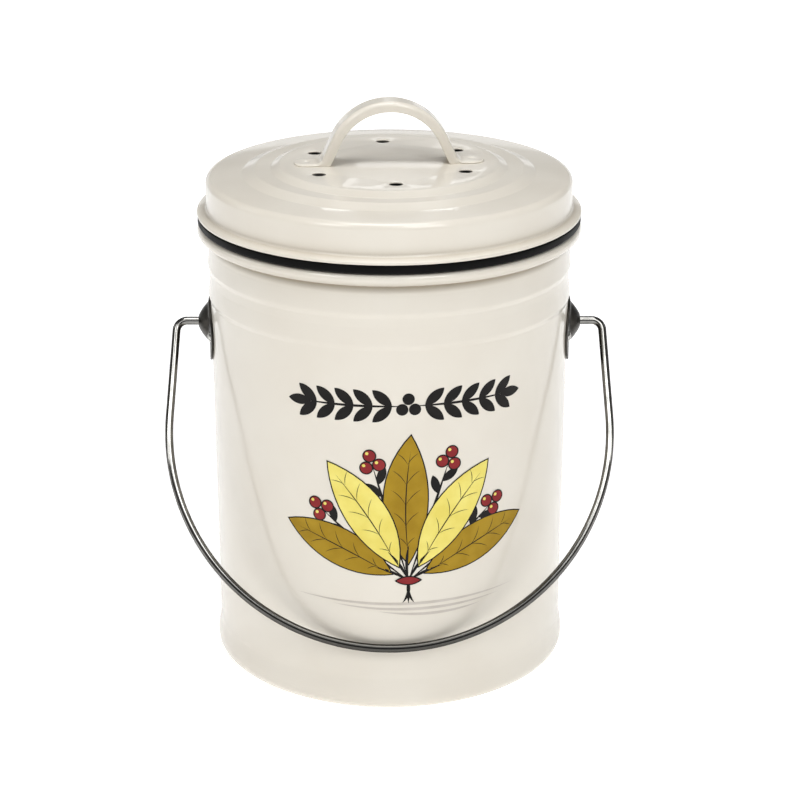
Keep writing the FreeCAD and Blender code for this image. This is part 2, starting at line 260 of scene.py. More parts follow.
def makeEnamel():
    material, tree, shader = newMaterial("cream_enamel", {
        "Specular IOR Level": enamel["specular"],
        "Coat Weight": enamel["coat"], "Coat Roughness": enamel["coatRoughness"]})
    coords = objectCoords(tree)
    patches = noiseOn(tree, coords, enamel["patches"], detail=3.0)
    colour = rampOn(tree, patches, [(0.3, enamel["creamThin"]), (0.62, enamel["cream"])])
    creaseShade = addNode(tree, "AmbientOcclusion", {"Distance": enamel["creaseShadeReach"]})  # painted shade, darker in the corners and creases
    creaseShade.only_local = True
    openness = rangeOn(tree, creaseShade.outputs["AO"], (0, 1), enamel["creaseShadeSpan"])
    colour = blendOn(tree, openness, enamel["creaseShade"], colour)
    rimShade = addNode(tree, "Attribute", {})  # painted shade, darkest under the pail's rim
    rimShade.attribute_name = "rimShade"
    colour = blendOn(tree, rimShade.outputs["Fac"], colour, enamel["rimShadeColour"])
    waves = bumpOn(tree, noiseOn(tree, coords, enamel["waves"], detail=0.0), enamel["waveHeight"])
    peel = bumpOn(tree, noiseOn(tree, coords, enamel["peel"], detail=1.0), enamel["peelHeight"], waves)
    tree.links.new(colour, shader.inputs["Base Color"])
    tree.links.new(rangeOn(tree, patches, enamel["roughness"]), shader.inputs["Roughness"])
    tree.links.new(peel, shader.inputs["Normal"])
    tree.links.new(peel, shader.inputs["Coat Normal"])
    return material


# grain: how fine the marks are, blotch: how much larger the blotches are, edge: tint of a glancing reflection
steels = {
    "bail_wire": {
        "bright": linear(138, 137, 134), "dull": linear(116, 115, 112), "roughness": (0.05, 0.12),
        "grain": 2400, "grainHeight": 0.001 * mm, "blotch": 12, "stretch": (1, 1, 1), "edge": 0.15,
        # painted shade: the wire darker towards its low bow, over this span of heights
        "bowShadeSpan": (32 * mm, 80 * mm), "bowShade": linear(76, 75, 72),
    },
    "ear_steel": {
        "bright": linear(72, 69, 64), "dull": linear(42, 40, 37), "roughness": (0.26, 0.46),
        "grain": 900, "grainHeight": 0.02 * mm, "blotch": 12, "stretch": (1, 1, 1), "edge": 1.0,
    },
    "rivet_steel": {
        "bright": linear(205, 204, 200), "dull": linear(170, 168, 163), "roughness": (0.14, 0.3),
        "grain": 1500, "grainHeight": 0.006 * mm, "blotch": 12, "stretch": (1, 1, 1), "edge": 1.0,
    },
    "clip_steel": {
        "bright": linear(205, 204, 202), "dull": linear(176, 175, 172), "roughness": (0.18, 0.34),
        "grain": 1800, "grainHeight": 0.006 * mm, "blotch": 12, "stretch": (1, 1, 6), "edge": 1.0,
    },
}


def makeSteel(name):
    steel = steels[name]
    tint = (steel["edge"], steel["edge"], steel["edge"], 1)
    material, tree, shader = newMaterial(name, {"Metallic": 1.0, "Specular Tint": tint})
    coords = objectCoords(tree, steel["stretch"])
    blotches = noiseOn(tree, coords, steel["grain"] / steel["blotch"], detail=4.0)
    fine = noiseOn(tree, coords, steel["grain"], detail=3.0)
    colour = rampOn(tree, blotches, [(0.32, steel["dull"]), (0.6, steel["bright"])])
    if "bowShadeSpan" in steel:  # painted shade, darker low down towards the bow
        height = addNode(tree, "SeparateXYZ", {"Vector": coords}).outputs["Z"]
        colour = blendOn(tree, rangeOn(tree, height, (0, 1), steel["bowShadeSpan"]), steel["bowShade"], colour)
    tree.links.new(colour, shader.inputs["Base Color"])
    tree.links.new(rangeOn(tree, fine, steel["roughness"]), shader.inputs["Roughness"])
    tree.links.new(bumpOn(tree, fine, steel["grainHeight"]), shader.inputs["Normal"])
    return material


rubber = {
    "black": linear(7, 7, 7), "dusty": linear(16, 15, 15), "bloom": 70,
    "grain": 1400, "grainHeight": 0.01 * mm, "roughness": (0.42, 0.58), "specular": 0.08,
}


def makeRubber():
    material, tree, shader = newMaterial("seal_rubber", {"Specular IOR Level": rubber["specular"]})
    coords = objectCoords(tree)
    bloom = noiseOn(tree, coords, rubber["bloom"], detail=4.0)
    fine = noiseOn(tree, coords, rubber["grain"])
    colour = rampOn(tree, bloom, [(0.4, rubber["black"]), (0.75, rubber["dusty"])])
    tree.links.new(colour, shader.inputs["Base Color"])
    tree.links.new(rangeOn(tree, bloom, rubber["roughness"]), shader.inputs["Roughness"])
    tree.links.new(bumpOn(tree, fine, rubber["grainHeight"]), shader.inputs["Normal"])
    return material


foam = {
    "fibre": linear(58, 58, 57), "hollow": linear(17, 17, 18), "stretch": (1, 1, 2.2),
    "strands": 900, "strandHeight": 0.35 * mm, "clumps": 160, "clumpHeight": 0.5 * mm,
    "roughness": 0.95, "sheen": 0.3,
}


def makeFoam():
    material, tree, shader = newMaterial("carbon_foam", {
        "Roughness": foam["roughness"], "Sheen Weight": foam["sheen"]})
    coords = objectCoords(tree, foam["stretch"])
    strands = noiseOn(tree, coords, foam["strands"], detail=5.0)
    clumps = noiseOn(tree, coords, foam["clumps"], detail=3.0)
    normal = bumpOn(tree, clumps, foam["clumpHeight"])
    normal = bumpOn(tree, strands, foam["strandHeight"], normal)
    colour = rampOn(tree, strands, [(0.38, foam["hollow"]), (0.68, foam["fibre"])])
    tree.links.new(colour, shader.inputs["Base Color"])
    tree.links.new(normal, shader.inputs["Normal"])
    return material


inkFilm = {"cover": 90, "roughness": (0.28, 0.4), "specular": 0.15}


def makeInk(name, deep, pale):  # screen print, a little thinner in places
    material, tree, shader = newMaterial(name, {"Specular IOR Level": inkFilm["specular"]})
    cover = noiseOn(tree, objectCoords(tree), inkFilm["cover"], detail=4.0)
    tree.links.new(rampOn(tree, cover, [(0.36, deep), (0.66, pale)]), shader.inputs["Base Color"])
    tree.links.new(rangeOn(tree, cover, inkFilm["roughness"]), shader.inputs["Roughness"])
    return material


creamEnamel = makeEnamel()
inks = {
    "black": makeInk("ink_black", linear(17, 15, 14), linear(30, 27, 25)),
    "yellow": makeInk("ink_yellow", linear(234, 217, 106), linear(243, 230, 128)),
    "ochre": makeInk("ink_ochre", linear(158, 125, 22), linear(174, 141, 34)),
    "red": makeInk("ink_red", linear(134, 36, 40), linear(152, 48, 50)),
    "grey": makeInk("ink_grey", linear(196, 188, 178), linear(208, 201, 192)),
}
bailSteel = makeSteel("bail_wire")
earSteel = makeSteel("ear_steel")
rivetSteel = makeSteel("rivet_steel")
clipSteel = makeSteel("clip_steel")
sealRubber = makeRubber()
carbonFoam = makeFoam()
print("finishes ready")


# Pail: wall with foot, ridges and rolled rim, and the pan that closes its bottom

pail = {
    "height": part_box("body_wall")[1].z,
    "sheet": 0.8 * mm,
    "footRadius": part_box("base_pan")[1].x + 0.85 * mm,  # pan, its play and one sheet
    "footCorner": 4.0 * mm, "footBand": 2.0 * mm, "footFlare": 8.0 * mm, "footDrawIn": 1.3 * mm,
    "footLip": 2.5 * mm, "flareBend": 12.0 * mm,
    "wallSpread": 1.2 * mm,
    "curl": 2.75 * mm, "curlGap": 0.5 * mm, "curlSteps": 28,
    "ridgeCount": 2, "ridgeDrop": 10.5 * mm, "ridgeRise": 8.0 * mm, "ridgeReturn": 2.0 * mm,
    "ridgeLand": 4.0 * mm, "ridgeDepth": 0.7 * mm, "ridgeBend": 3.5 * mm,
    # painted shade under the rim: how far it reaches, how far out its darkest point lies, and the rows of
    # points that carry it
    "rimShadeReach": 4.4 * mm, "rimShadeOut": 1.3 * mm, "rimShadeRows": 12,
}
bandTop = pail["footCorner"] + pail["footBand"]
flareTop = bandTop + pail["footFlare"]
wallLow = pail["footRadius"] - pail["footDrawIn"]
wallTop = wallLow + pail["wallSpread"]
mouthRadius = wallTop - pail["sheet"]
curlCentre = Vector((mouthRadius + pail["curl"], 0, pail["height"] - pail["curl"]))


def wallRadius(height):  # outside of the plain wall
    return wallLow + pail["wallSpread"] * (height - flareTop) / (curlCentre.z - flareTop)


def ridgeCorners():
    pitch = pail["ridgeRise"] + pail["ridgeReturn"] + pail["ridgeLand"]
    first = pail["height"] - pail["ridgeDrop"] - pail["ridgeCount"] * pitch + pail["ridgeLand"]
    corners = []
    for index in range(pail["ridgeCount"]):
        low = first + index * pitch
        crest = low + pail["ridgeReturn"]
        high = crest + pail["ridgeRise"]
        corners.append((wallRadius(low), low, pail["ridgeBend"]))
        corners.append((wallRadius(crest) + pail["ridgeDepth"], crest, pail["ridgeBend"]))
        corners.append((wallRadius(high), high, pail["ridgeBend"]))
    return corners


def sideCorners(inset):
    corners = [(pail["footRadius"], bandTop, pail["flareBend"]), (wallLow, flareTop, pail["flareBend"])]
    return [(across - inset, up, bend) for across, up, bend in corners + ridgeCorners()]


def rimShadeCorners():  # more points on the wall under the rim, where the painted shade falls
    low = curlCentre.z - pail["curl"] - pail["rimShadeReach"]
    step = (curlCentre.z - low) / pail["rimShadeRows"]
    heights = [low + step * (index + 0.5) for index in range(pail["rimShadeRows"])]
    return [(wallRadius(height), height) for height in heights]


# painted shade: each point near the rim's curl gets a darkness that fades with distance
def markRimShade(bm):
    rimShade = bm.verts.layers.float.new("rimShade")
    corner = Vector((wallTop + pail["rimShadeOut"], curlCentre.z - pail["curl"]))
    for vert in bm.verts:
        place = Vector((vert.co.xy.length, vert.co.z))
        if place.x > wallTop - pail["sheet"] / 2:
            vert[rimShade] = max(0, 1 - (place - corner).length / pail["rimShadeReach"])


def makePailWall():
    bm = bmesh.new()
    foot, corner, sheet = pail["footRadius"], pail["footCorner"], pail["sheet"]
    lip = foot - corner - pail["footLip"]
    outer = [(lip, 0), (foot, 0, corner), *sideCorners(0), *rimShadeCorners()]
    lipOut, wallOut = addWire(bm, outer + [(wallTop, curlCentre.z)])
    inner = sideCorners(sheet)[::-1] + [(foot - sheet, sheet, corner - sheet), (lip, sheet)]
    wallIn, lipIn = addWire(bm, [(mouthRadius, curlCentre.z)] + inner)
    sweep = pi + acos((pail["curlGap"] - pail["curl"] + sheet) / pail["curl"])
    curlIn = spinVert(bm, wallOut, curlCentre, sweep, pail["curlSteps"])
    curlOut = spinVert(bm, wallIn, curlCentre, sweep, pail["curlSteps"])
    bm.edges.new((curlIn, curlOut))
    bm.edges.new((lipOut, lipIn))
    spinRound(bm)
    closeUp(bm)
    markRimShade(bm)
    return makePiece("pail_wall", bm, "pail", [creamEnamel], ["body_wall"])


pan = {"rise": 3.2 * mm, "seat": 6.5 * mm, "stepRun": 2.5 * mm, "bend": 1.5 * mm, "play": 0.05 * mm}


def makePan():
    bm = bmesh.new()
    sheet = pail["sheet"]
    radius = pail["footRadius"] - sheet - pan["play"]
    corner = pail["footCorner"] - sheet - pan["play"]
    low, high = sheet, sheet + pan["rise"]
    top = bandTop - pail["footBand"] / 2
    stepOut = radius - pan["seat"]
    stepIn = stepOut - pan["stepRun"]
    under = [(0, high), (stepIn, high, pan["bend"]), (stepOut, low, pan["bend"]), (radius, low, corner)]
    edge = [(radius, top), (radius - sheet, top), (radius - sheet, low + sheet, corner - sheet)]
    over = [(stepOut, low + sheet, pan["bend"]), (stepIn, high + sheet, pan["bend"]), (0, high + sheet)]
    addWire(bm, under + edge + over)
    spinRound(bm)
    closeUp(bm)
    return makePiece("pail_floor", bm, "pail", [creamEnamel], ["base_pan"])


makePailWall()
makePan()
print("pail done")


# Bail ears: a plate pressed out into a hollow cone, held by two rivets each

ear = {
    "sheet": 1.0 * mm, "play": 0.05 * mm,
    "halfWidth": 18.0 * mm, "halfHeight": 14.2 * mm, "middle": 150.8 * mm,
    "bore": 1.88 * mm, "tip": 2.7 * mm, "boss": 10.3 * mm, "bulge": 0.6 * mm, "fillet": 0.9 * mm,
    "sides": 72, "coneRings": 14, "plateRings": 7, "edgeRound": 0.3 * mm,
}
pivot = Vector(joints["bail_swing"]["pos_m"])
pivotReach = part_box("right_ear")[1].x
bossFoot = wallRadius(pivot.z)


def coneReach(radius):  # the cone's outside along X, with its side swelling past a straight one
    share = (radius - ear["tip"]) / (ear["boss"] - ear["tip"])
    straight = pivotReach + (bossFoot - pivotReach) * share
    return min(pivotReach, straight + swellAt(share) * ear["bulge"])


def earReach(across, up):  # cone and plate run into each other over a fillet
    plate = sqrt((wallRadius(up) + ear["play"] + ear["sheet"]) ** 2 - across ** 2)
    cone = coneReach(hypot(across, up - pivot.z))
    near = max(ear["fillet"] - abs(plate - cone), 0) / ear["fillet"]
    return max(plate, cone) + near * near * ear["fillet"] / 4


def earRings():  # (half width, half height, middle) of each ring, from the bore to the plate's edge
    rings = [(ear["bore"], ear["bore"], pivot.z)]
    for index in range(ear["coneRings"] + 1):
        radius = ear["tip"] + (ear["boss"] - ear["tip"]) * index / ear["coneRings"]
        rings.append((radius, radius, pivot.z))
    for index in range(1, ear["plateRings"] + 1):
        share = index / ear["plateRings"]
        width = ear["boss"] + (ear["halfWidth"] - ear["boss"]) * share
        height = ear["boss"] + (ear["halfHeight"] - ear["boss"]) * share
        rings.append((width, height, pivot.z + (ear["middle"] - pivot.z) * share))
    return rings


def makeEar(side, turn):
    bm = bmesh.new()
    bmesh.ops.create_circle(bm, segments=ear["sides"], radius=1)
    angleLayer = bm.verts.layers.float.new("angle")
    for vert in bm.verts:
        vert[angleLayer] = atan2(vert.co.y, vert.co.x)
    outside = [(*size, 0) for size in earRings()]
    hollow = [(*size, ear["sheet"]) for size in earRings()[::-1]]
    verts, ring = bm.verts[:], bm.edges[:]
    edges = []
    for index, (width, height, middle, back) in enumerate(outside + hollow + outside[:1]):
        if index:
            verts, ring = nextRing(bm, ring)
        for vert in verts:
            across, up = width * cos(vert[angleLayer]), middle + height * sin(vert[angleLayer])
            vert.co = (earReach(across, up) - back, across, up)
        if index in (len(outside) - 1, len(outside)):
            edges += ring
    closeUp(bm)
    roundEdges(bm, edges, ear["edgeRound"])
    turnRound(bm, turn)
    return makePiece("ear_" + side, bm, "pail", [earSteel], [side + "_ear"])


rivet = {
    "shank": 1.5 * mm, "head": 2.5 * mm, "headHeight": 1.1 * mm, "offset": 13.5 * mm,
    "tail": 0.55 * mm, "edge": 0.2 * mm, "sides": 36, "domeSteps": 8,
}


def addRivet(bm, turn):
    one = bmesh.new()
    seat = wallRadius(ear["middle"]) + 2 * ear["play"] + ear["sheet"]
    head, shank = rivet["head"], rivet["shank"]
    inside = sqrt((wallRadius(ear["middle"]) - pail["sheet"]) ** 2 - head ** 2) - ear["play"]
    end = inside - rivet["tail"]
    dome = (head ** 2 + rivet["headHeight"] ** 2) / (2 * rivet["headHeight"])
    centre = Vector((seat + rivet["headHeight"] - dome, 0, 0))
    corners = [(end, 0), (end, head, rivet["edge"]), (inside, head), (inside, shank)]
    last = addWire(one, corners + [(seat, shank), (seat, head)])[1]
    spinVert(one, last, centre, asin(head / dome), rivet["domeSteps"])
    spinRound(one, xAxis, rivet["sides"])
    closeUp(one)
    place = Matrix.Rotation(turn, 4, "Z") @ Matrix.Translation((0, 0, ear["middle"]))
    bmesh.ops.transform(one, matrix=place, verts=one.verts)
    joinInto(bm, one)


def makeRivets(side, turn):
    bm = bmesh.new()
    swing = rivet["offset"] / wallRadius(ear["middle"])
    addRivet(bm, turn - swing)
    addRivet(bm, turn + swing)
    return makePiece("rivets_" + side, bm, "pail", [rivetSteel], [side + "_ear_rivets"])


for side, turn in (("right", 0), ("left", pi)):
    makeEar(side, turn)
    makeRivets(side, turn)
print("ears done")


# Bail: one wire, bent at a knee beside each ear and leaning on the pail's front

bail = {
    "radius": 1.8 * mm, "sides": 28, "head": 2.7 * mm, "headLength": 1.4 * mm, "headEdge": 0.3 * mm,
    "headInset": 1.66 * mm,  # cone's wall and the head's end play
    "stub": 5.3 * mm, "knee": 4.7 * mm, "lean": radians(3.3),
    "restHeight": 30.5 * mm, "restGap": 0.3 * mm, "kneeSteps": 16, "bowSteps": 80, "legCuts": 20,
}


def makeBail():
    bm = bmesh.new()
    lean, knee = bail["lean"], bail["knee"]
    reach = wallRadius(bail["restHeight"]) + bail["restGap"] + bail["radius"]
    drop = hypot(pivot.z - bail["restHeight"], reach)
    kneeStart = pivotReach + bail["stub"]
    kneeEnd = Vector((kneeStart + knee * cos(lean), 0, -knee * (1 - sin(lean))))
    bow = (kneeEnd.x + (drop + kneeEnd.z) * tan(lean)) / (cos(lean) + (1 + sin(lean)) * tan(lean))
    bowCentre = Vector((0, 0, bow - drop))
    headStart = pivotReach - bail["headInset"] - bail["headLength"]

    facing = Matrix.Translation((headStart, 0, 0)) @ Matrix.Rotation(pi / 2, 4, "Y")
    bmesh.ops.create_circle(bm, segments=bail["sides"], radius=bail["head"], cap_ends=True, matrix=facing)
    ring = bm.edges[:]
    verts, ring = nextRing(bm, ring)
    bmesh.ops.translate(bm, verts=verts, vec=xAxis * bail["headLength"])
    headEdges = [edge for edge in bm.edges if abs(edge.verts[0].co.x - edge.verts[1].co.x) < mesh["weld"]]
    verts, ring = nextRing(bm, ring)
    shrink = Matrix.Diagonal((1, bail["radius"] / bail["head"], bail["radius"] / bail["head"]))
    bmesh.ops.transform(bm, matrix=shrink.to_4x4(), verts=verts)
    verts, ring = nextRing(bm, ring)
    bmesh.ops.translate(bm, verts=verts, vec=xAxis * (kneeStart - headStart - bail["headLength"]))
    turned = bmesh.ops.spin(bm, geom=verts + ring, cent=(kneeStart, 0, -knee), axis=yAxis,
                            angle=pi / 2 - lean, steps=bail["kneeSteps"])["geom_last"]
    verts, ring = nextRing(bm, edgesIn(turned))
    legEnd = bowCentre + Vector((bow * cos(lean), 0, bow * sin(lean)))
    bmesh.ops.translate(bm, verts=verts, vec=legEnd - kneeEnd)
    legSides = [edge for edge in bm.edges if edge.calc_length() > (legEnd - kneeEnd).length / 2]
    bmesh.ops.spin(bm, geom=verts + ring, cent=bowCentre, axis=yAxis,
                   angle=pi / 2 + lean, steps=bail["bowSteps"])
    bmesh.ops.subdivide_edges(bm, edges=legSides, cuts=bail["legCuts"], use_grid_fill=True)
    roundEdges(bm, headEdges, bail["headEdge"])
    mirrorAcross(bm)
    swing = Matrix.Translation(pivot) @ Matrix.Rotation(-asin(reach / drop), 4, "X")
    bmesh.ops.transform(bm, matrix=swing, verts=bm.verts)
    return makePiece("bail_handle", bm, "bail", [bailSteel], ["bail"])


bailHandle = makeBail()
print("bail done")


# Lid: stepped cover with six vents, strap handle, seal, filter and clips

lid = {
    "turn": radians(4.5), "sheet": 0.8 * mm,
    "seat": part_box("lid_shell")[0].z, "disc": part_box("lid_shell")[1].z, "rim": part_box("lid_shell")[1].y,
    "flange": 4.1 * mm, "flangeEdge": 1.3 * mm, "flangeRise": 1.4 * mm, "flangeBend": 1.2 * mm,
    "edgeRound": 0.6 * mm, "skirt": 16.4 * mm, "corner": 3.0 * mm,
    "annulus": 16.0 * mm, "outerRun": 5.5 * mm, "ring": 7.0 * mm, "innerRun": 4.0 * mm,
    "stepRise": 2.0 * mm, "stepBend": 2.4 * mm, "flat": 3.4 * mm,
    "vents": 6, "ventRadius": 2.9 * mm, "ventInset": 11.4 * mm, "ventLip": 0.34 * mm, "ventSides": 40,
}
skirtRadius = lid["rim"] - lid["flange"]
outerStep = skirtRadius - lid["annulus"]
ringEdge = outerStep - lid["outerRun"]
innerStep = ringEdge - lid["ring"]
discEdge = innerStep - lid["innerRun"]
lidEdge = lid["seat"] + lid["skirt"]


def lidTop(drop, rise, dip):  # from the disc's flat outwards over both steps; rise and dip are the bends
    disc = lid["disc"] - drop
    ring = disc - lid["stepRise"]
    corners = [(discEdge - lid["flat"], disc), (discEdge, disc, rise), (innerStep, ring, dip)]
    return corners + [(ringEdge, ring, rise), (outerStep, ring - lid["stepRise"], dip)]


def makeVent():  # punched hole with rolled edges, on the handle's line before it is turned
    top, low, radius, lip = lid["disc"], lid["disc"] - lid["sheet"], lid["ventRadius"], lid["ventLip"]
    one = bmesh.new()
    addWire(one, [(radius + lip, top), (radius, top, lip), (radius, low, lip), (radius + lip, low)])
    spinRound(one, steps=lid["ventSides"])
    closeUp(one)
    bmesh.ops.reverse_faces(one, faces=one.faces)
    bmesh.ops.translate(one, verts=one.verts, vec=xAxis * (discEdge - lid["ventInset"]))
    return one


def makeLidCover():
    bm = bmesh.new()
    sheet, bend, rim, seat = lid["sheet"], lid["stepBend"], lid["rim"], lid["seat"]
    flangeTop = seat + lid["flangeEdge"]
    outside = lidTop(0, bend + sheet, bend) + [(skirtRadius, lidEdge, lid["corner"])]
    outside += [(skirtRadius, flangeTop + lid["flangeRise"], lid["flangeBend"])]
    outside += [(rim, flangeTop, lid["edgeRound"]), (rim, seat, lid["edgeRound"])]
    inside = [(skirtRadius - sheet, seat), (skirtRadius - sheet, lidEdge - sheet, lid["corner"] - sheet)]
    addWire(bm, outside + inside + lidTop(sheet, bend, bend + sheet)[::-1])
    spinRound(bm)
    for index in range(lid["vents"]):
        vent = makeVent()
        turnRound(vent, (index + 0.5) * fullTurn / lid["vents"])
        joinInto(bm, vent)
    bmesh.ops.remove_doubles(bm, verts=bm.verts, dist=mesh["weld"])
    rims = [edge for edge in bm.edges if edge.is_boundary]
    middle = lid["disc"] - sheet / 2
    over = [edge for edge in rims if edge.verts[0].co.z > middle]
    under = [edge for edge in rims if edge.verts[0].co.z < middle]
    bmesh.ops.triangle_fill(bm, use_beauty=True, edges=over, normal=zAxis)
    bmesh.ops.triangle_fill(bm, use_beauty=True, edges=under, normal=-zAxis)
    closeUp(bm)
    turnRound(bm, lid["turn"])
    return makePiece("lid_cover", bm, "lid", [creamEnamel], ["lid_shell"])


grip = {
    "rise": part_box("lid_handle")[1].z - lid["disc"], "lean": radians(25),
    "tipInset": 6.3 * mm, "foot": 11.3 * mm, "width": 12.5 * mm, "depth": 4.4 * mm, "sheet": 1.0 * mm,
    "round": 2.2 * mm, "edge": 0.3 * mm, "footBend": 3.0 * mm, "tipPower": 2.5,
    "archSteps": 40, "legSteps": 8, "bendSteps": 14, "footSteps": 16, "tipSteps": 14, "topCuts": 14,
    "tuck": 0.6 * mm, "footSpread": 0.11,
    "weldRadius": 1.9 * mm, "weldDepth": 0.28 * mm, "weldInset": 5.6 * mm,
}


# From the top to a foot's tip: (point on the strap's outside, its normal, share of the full width)
def gripStations():
    lean, floor, bend = grip["lean"], lid["disc"] + grip["sheet"], grip["footBend"]
    tip = discEdge - grip["tipInset"]
    leg = tip - grip["foot"]
    spread = cos(lean) - tan(lean) + sin(lean) * tan(lean)
    arch = (leg - (grip["rise"] - grip["sheet"]) * tan(lean)) / spread
    centre = Vector((0, 0, lid["disc"] + grip["rise"] - arch))
    stations = []
    for index in range(grip["archSteps"] + 1):
        angle = pi / 2 + (lean - pi / 2) * index / grip["archSteps"]
        normal = Vector((cos(angle), 0, sin(angle)))
        stations.append((centre + normal * arch, normal, 1))
    legTop, normal = stations[-1][:2]
    bendStart = floor + bend * (1 - sin(lean))
    legEnd = Vector((legTop.x + (legTop.z - bendStart) * tan(lean), 0, bendStart))
    for index in range(1, grip["legSteps"] + 1):
        stations.append((legTop.lerp(legEnd, index / grip["legSteps"]), normal, 1))
    bendCentre = legEnd + normal * bend
    for index in range(1, grip["bendSteps"] + 1):
        angle = lean + (pi / 2 - lean) * index / grip["bendSteps"]
        normal = Vector((cos(angle), 0, sin(angle)))
        stations.append((bendCentre - normal * bend, normal, 1))
    footStart, roundStart = stations[-1][0], tip - grip["width"] / 2
    for index in range(1, grip["footSteps"] + 1):
        across = footStart.x + (roundStart - footStart.x) * index / grip["footSteps"]
        stations.append((Vector((across, 0, floor)), zAxis, 1))
    for index in range(1, grip["tipSteps"] + 1):
        share = sin(pi / 2 * index / grip["tipSteps"])
        width = (1 - share ** grip["tipPower"]) ** (1 / grip["tipPower"])
        stations.append((Vector((roundStart + share * grip["width"] / 2, 0, floor)), zAxis, width))
    return stations


def makeGrip():
    bm = bmesh.new()
    half, depth, sheet, edge = grip["width"] / 2, grip["depth"], grip["sheet"], grip["edge"]
    inner, bend = half - sheet, grip["round"]
    rolled = half - bend + sqrt(bend ** 2 - (bend - sheet) ** 2) - grip["tuck"]
    section = [(-half, -depth, edge), (-half, 0, bend), (half, 0, bend), (half, -depth, edge)]
    section += [(inner, -depth, edge), (inner, -sheet, bend - sheet), (-inner, -sheet, bend - sheet)]
    addWire(bm, section + [(-inner, -depth, edge)], closed=True)
    top = [line for line in bm.edges if line.calc_length() > half and line.verts[0].co.z > -edge]
    bmesh.ops.subdivide_edges(bm, edges=top, cuts=grip["topCuts"])
    acrossLayer = bm.verts.layers.float.new("across")
    depthLayer = bm.verts.layers.float.new("depth")
    verts, ring = bm.verts[:], bm.edges[:]
    for vert in verts:
        vert[acrossLayer], vert[depthLayer] = vert.co.x, -vert.co.z
    for index, (point, normal, width) in enumerate(gripStations()):
        if index:
            verts, ring = nextRing(bm, ring)
        room = (point.z - lid["disc"]) / normal.z  # the channel's sides end on the disc
        squeeze = (min(depth, room) - sheet) / (depth - sheet)
        spread = width * (1 + grip["footSpread"] * (1 - squeeze))
        for vert in verts:
            across, down = vert[acrossLayer], vert[depthLayer]
            if down > sheet:  # the sides run out at the foot, and its edge is rolled under
                tucked = max(-rolled, min(across, rolled))
                across = tucked + (across - tucked) * squeeze
                down = sheet + (down - sheet) * squeeze
            vert.co = point + yAxis * across * spread - normal * down
    weldMiddle = Vector((discEdge - grip["tipInset"] - grip["weldInset"], 0, 0))
    for vert in bm.verts:  # spot weld pressed into the foot
        away = (vert.co.xy - weldMiddle.xy).length / grip["weldRadius"]
        if away < 1 and vert[depthLayer] < sheet / 2:
            vert.co.z -= grip["weldDepth"] * (1 - away * away) ** 2
    mirrorAcross(bm)
    turnRound(bm, lid["turn"])
    return makePiece("lid_grip", bm, "lid", [creamEnamel], ["lid_handle"])


seal = {
    "inset": 0.2 * mm, "web": 3.9 * mm, "round": 1.0 * mm, "lip": 2.0 * mm, "lipRound": 0.6 * mm,
    "upper": 7.0 * mm, "lower": 9.0 * mm, "lowerGap": 1.2 * mm, "play": 0.05 * mm,
    "ribs": 2, "ribHalf": 1.1 * mm, "ribPitch": 3.6 * mm, "ribGap": 0.3 * mm, "ribRound": 0.25 * mm,
}


def makeSeal():
    bm = bmesh.new()
    outer = lid["rim"] - seal["inset"]
    bandLow, seat = lid["seat"] - seal["web"], lid["seat"]
    upperOut = skirtRadius - lid["sheet"] - seal["play"]
    upperIn = upperOut - seal["lip"]
    lowerOut = mouthRadius - seal["lowerGap"]
    lowerIn = lowerOut - seal["lip"]
    low, high = bandLow - seal["lower"], seat + seal["upper"]
    bend, lipBend = seal["round"], seal["lipRound"]
    corners = [(lowerIn, low, lipBend), (lowerOut, low, lipBend / 2)]
    for index in range(seal["ribs"]):
        middle = low + seal["ribPitch"] * (index + 0.5)
        corners.append((lowerOut, middle - seal["ribHalf"]))
        corners.append((mouthRadius - seal["ribGap"], middle, seal["ribRound"]))
        corners.append((lowerOut, middle + seal["ribHalf"]))
    corners += [(lowerOut, bandLow, lipBend), (outer, bandLow, bend), (outer, seat, bend)]
    corners += [(upperOut, seat), (upperOut, high, lipBend), (upperIn, high, lipBend)]
    addWire(bm, corners + [(upperIn, seat, lipBend), (lowerIn, seat, lipBend)], closed=True)
    spinRound(bm)
    closeUp(bm)
    return makePiece("seal_ring", bm, "lid", [sealRubber], ["gasket"])


clip = {
    "count": 3, "start": radians(60), "sheet": 0.8 * mm, "width": 10.0 * mm, "sideGap": 0.5 * mm,
    "weld": 8.0 * mm, "hook": 5.0 * mm, "play": 0.1 * mm, "bend": 0.35 * mm,
    "edge": 0.12 * mm, "edgeSegments": 2, "edgeFrom": radians(60),
}
pad = {
    "inset": 4.5 * mm, "low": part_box("charcoal_filter")[0].z, "high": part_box("charcoal_filter")[1].z,
    "round": 1.6 * mm, "rings": 26, "sides": 150, "crown": 0.35 * mm,
    "tuft": 0.32 * mm, "tuftScale": 260, "nap": 0.16 * mm, "napScale": 700,
}


def makePad():
    bm = bmesh.new()
    radius, low, high, bend = discEdge - pad["inset"], pad["low"], pad["high"], pad["round"]
    addWire(bm, [(0, low), (radius, low, bend), (radius, high, bend), (0, high)])
    flats = [edge for edge in bm.edges if edge.calc_length() > radius / 2]
    bmesh.ops.subdivide_edges(bm, edges=flats, cuts=pad["rings"])
    spinRound(bm, steps=pad["sides"])
    closeUp(bm)
    middle = (low + high) / 2
    # Loose fibre: the surface sinks in tufts and in a finer nap, and is fullest in the middle
    for vert in bm.verts:
        tuft = pad["tuft"] * (1 + noise.noise(vert.co * pad["tuftScale"])) / 2
        nap = pad["nap"] * (1 + noise.noise(vert.co * pad["napScale"])) / 2
        crown = pad["crown"] * (vert.co.xy.length / radius) ** 2
        if vert.co.xy.length > radius - bend:
            vert.co += Vector((-vert.co.x, -vert.co.y, 0)).normalized() * tuft
        vert.co.z += (tuft + nap + crown) * (1 if vert.co.z < middle else -1)
    piece = makePiece("filter_pad", bm, "lid", [carbonFoam], ["charcoal_filter"])
    return piece


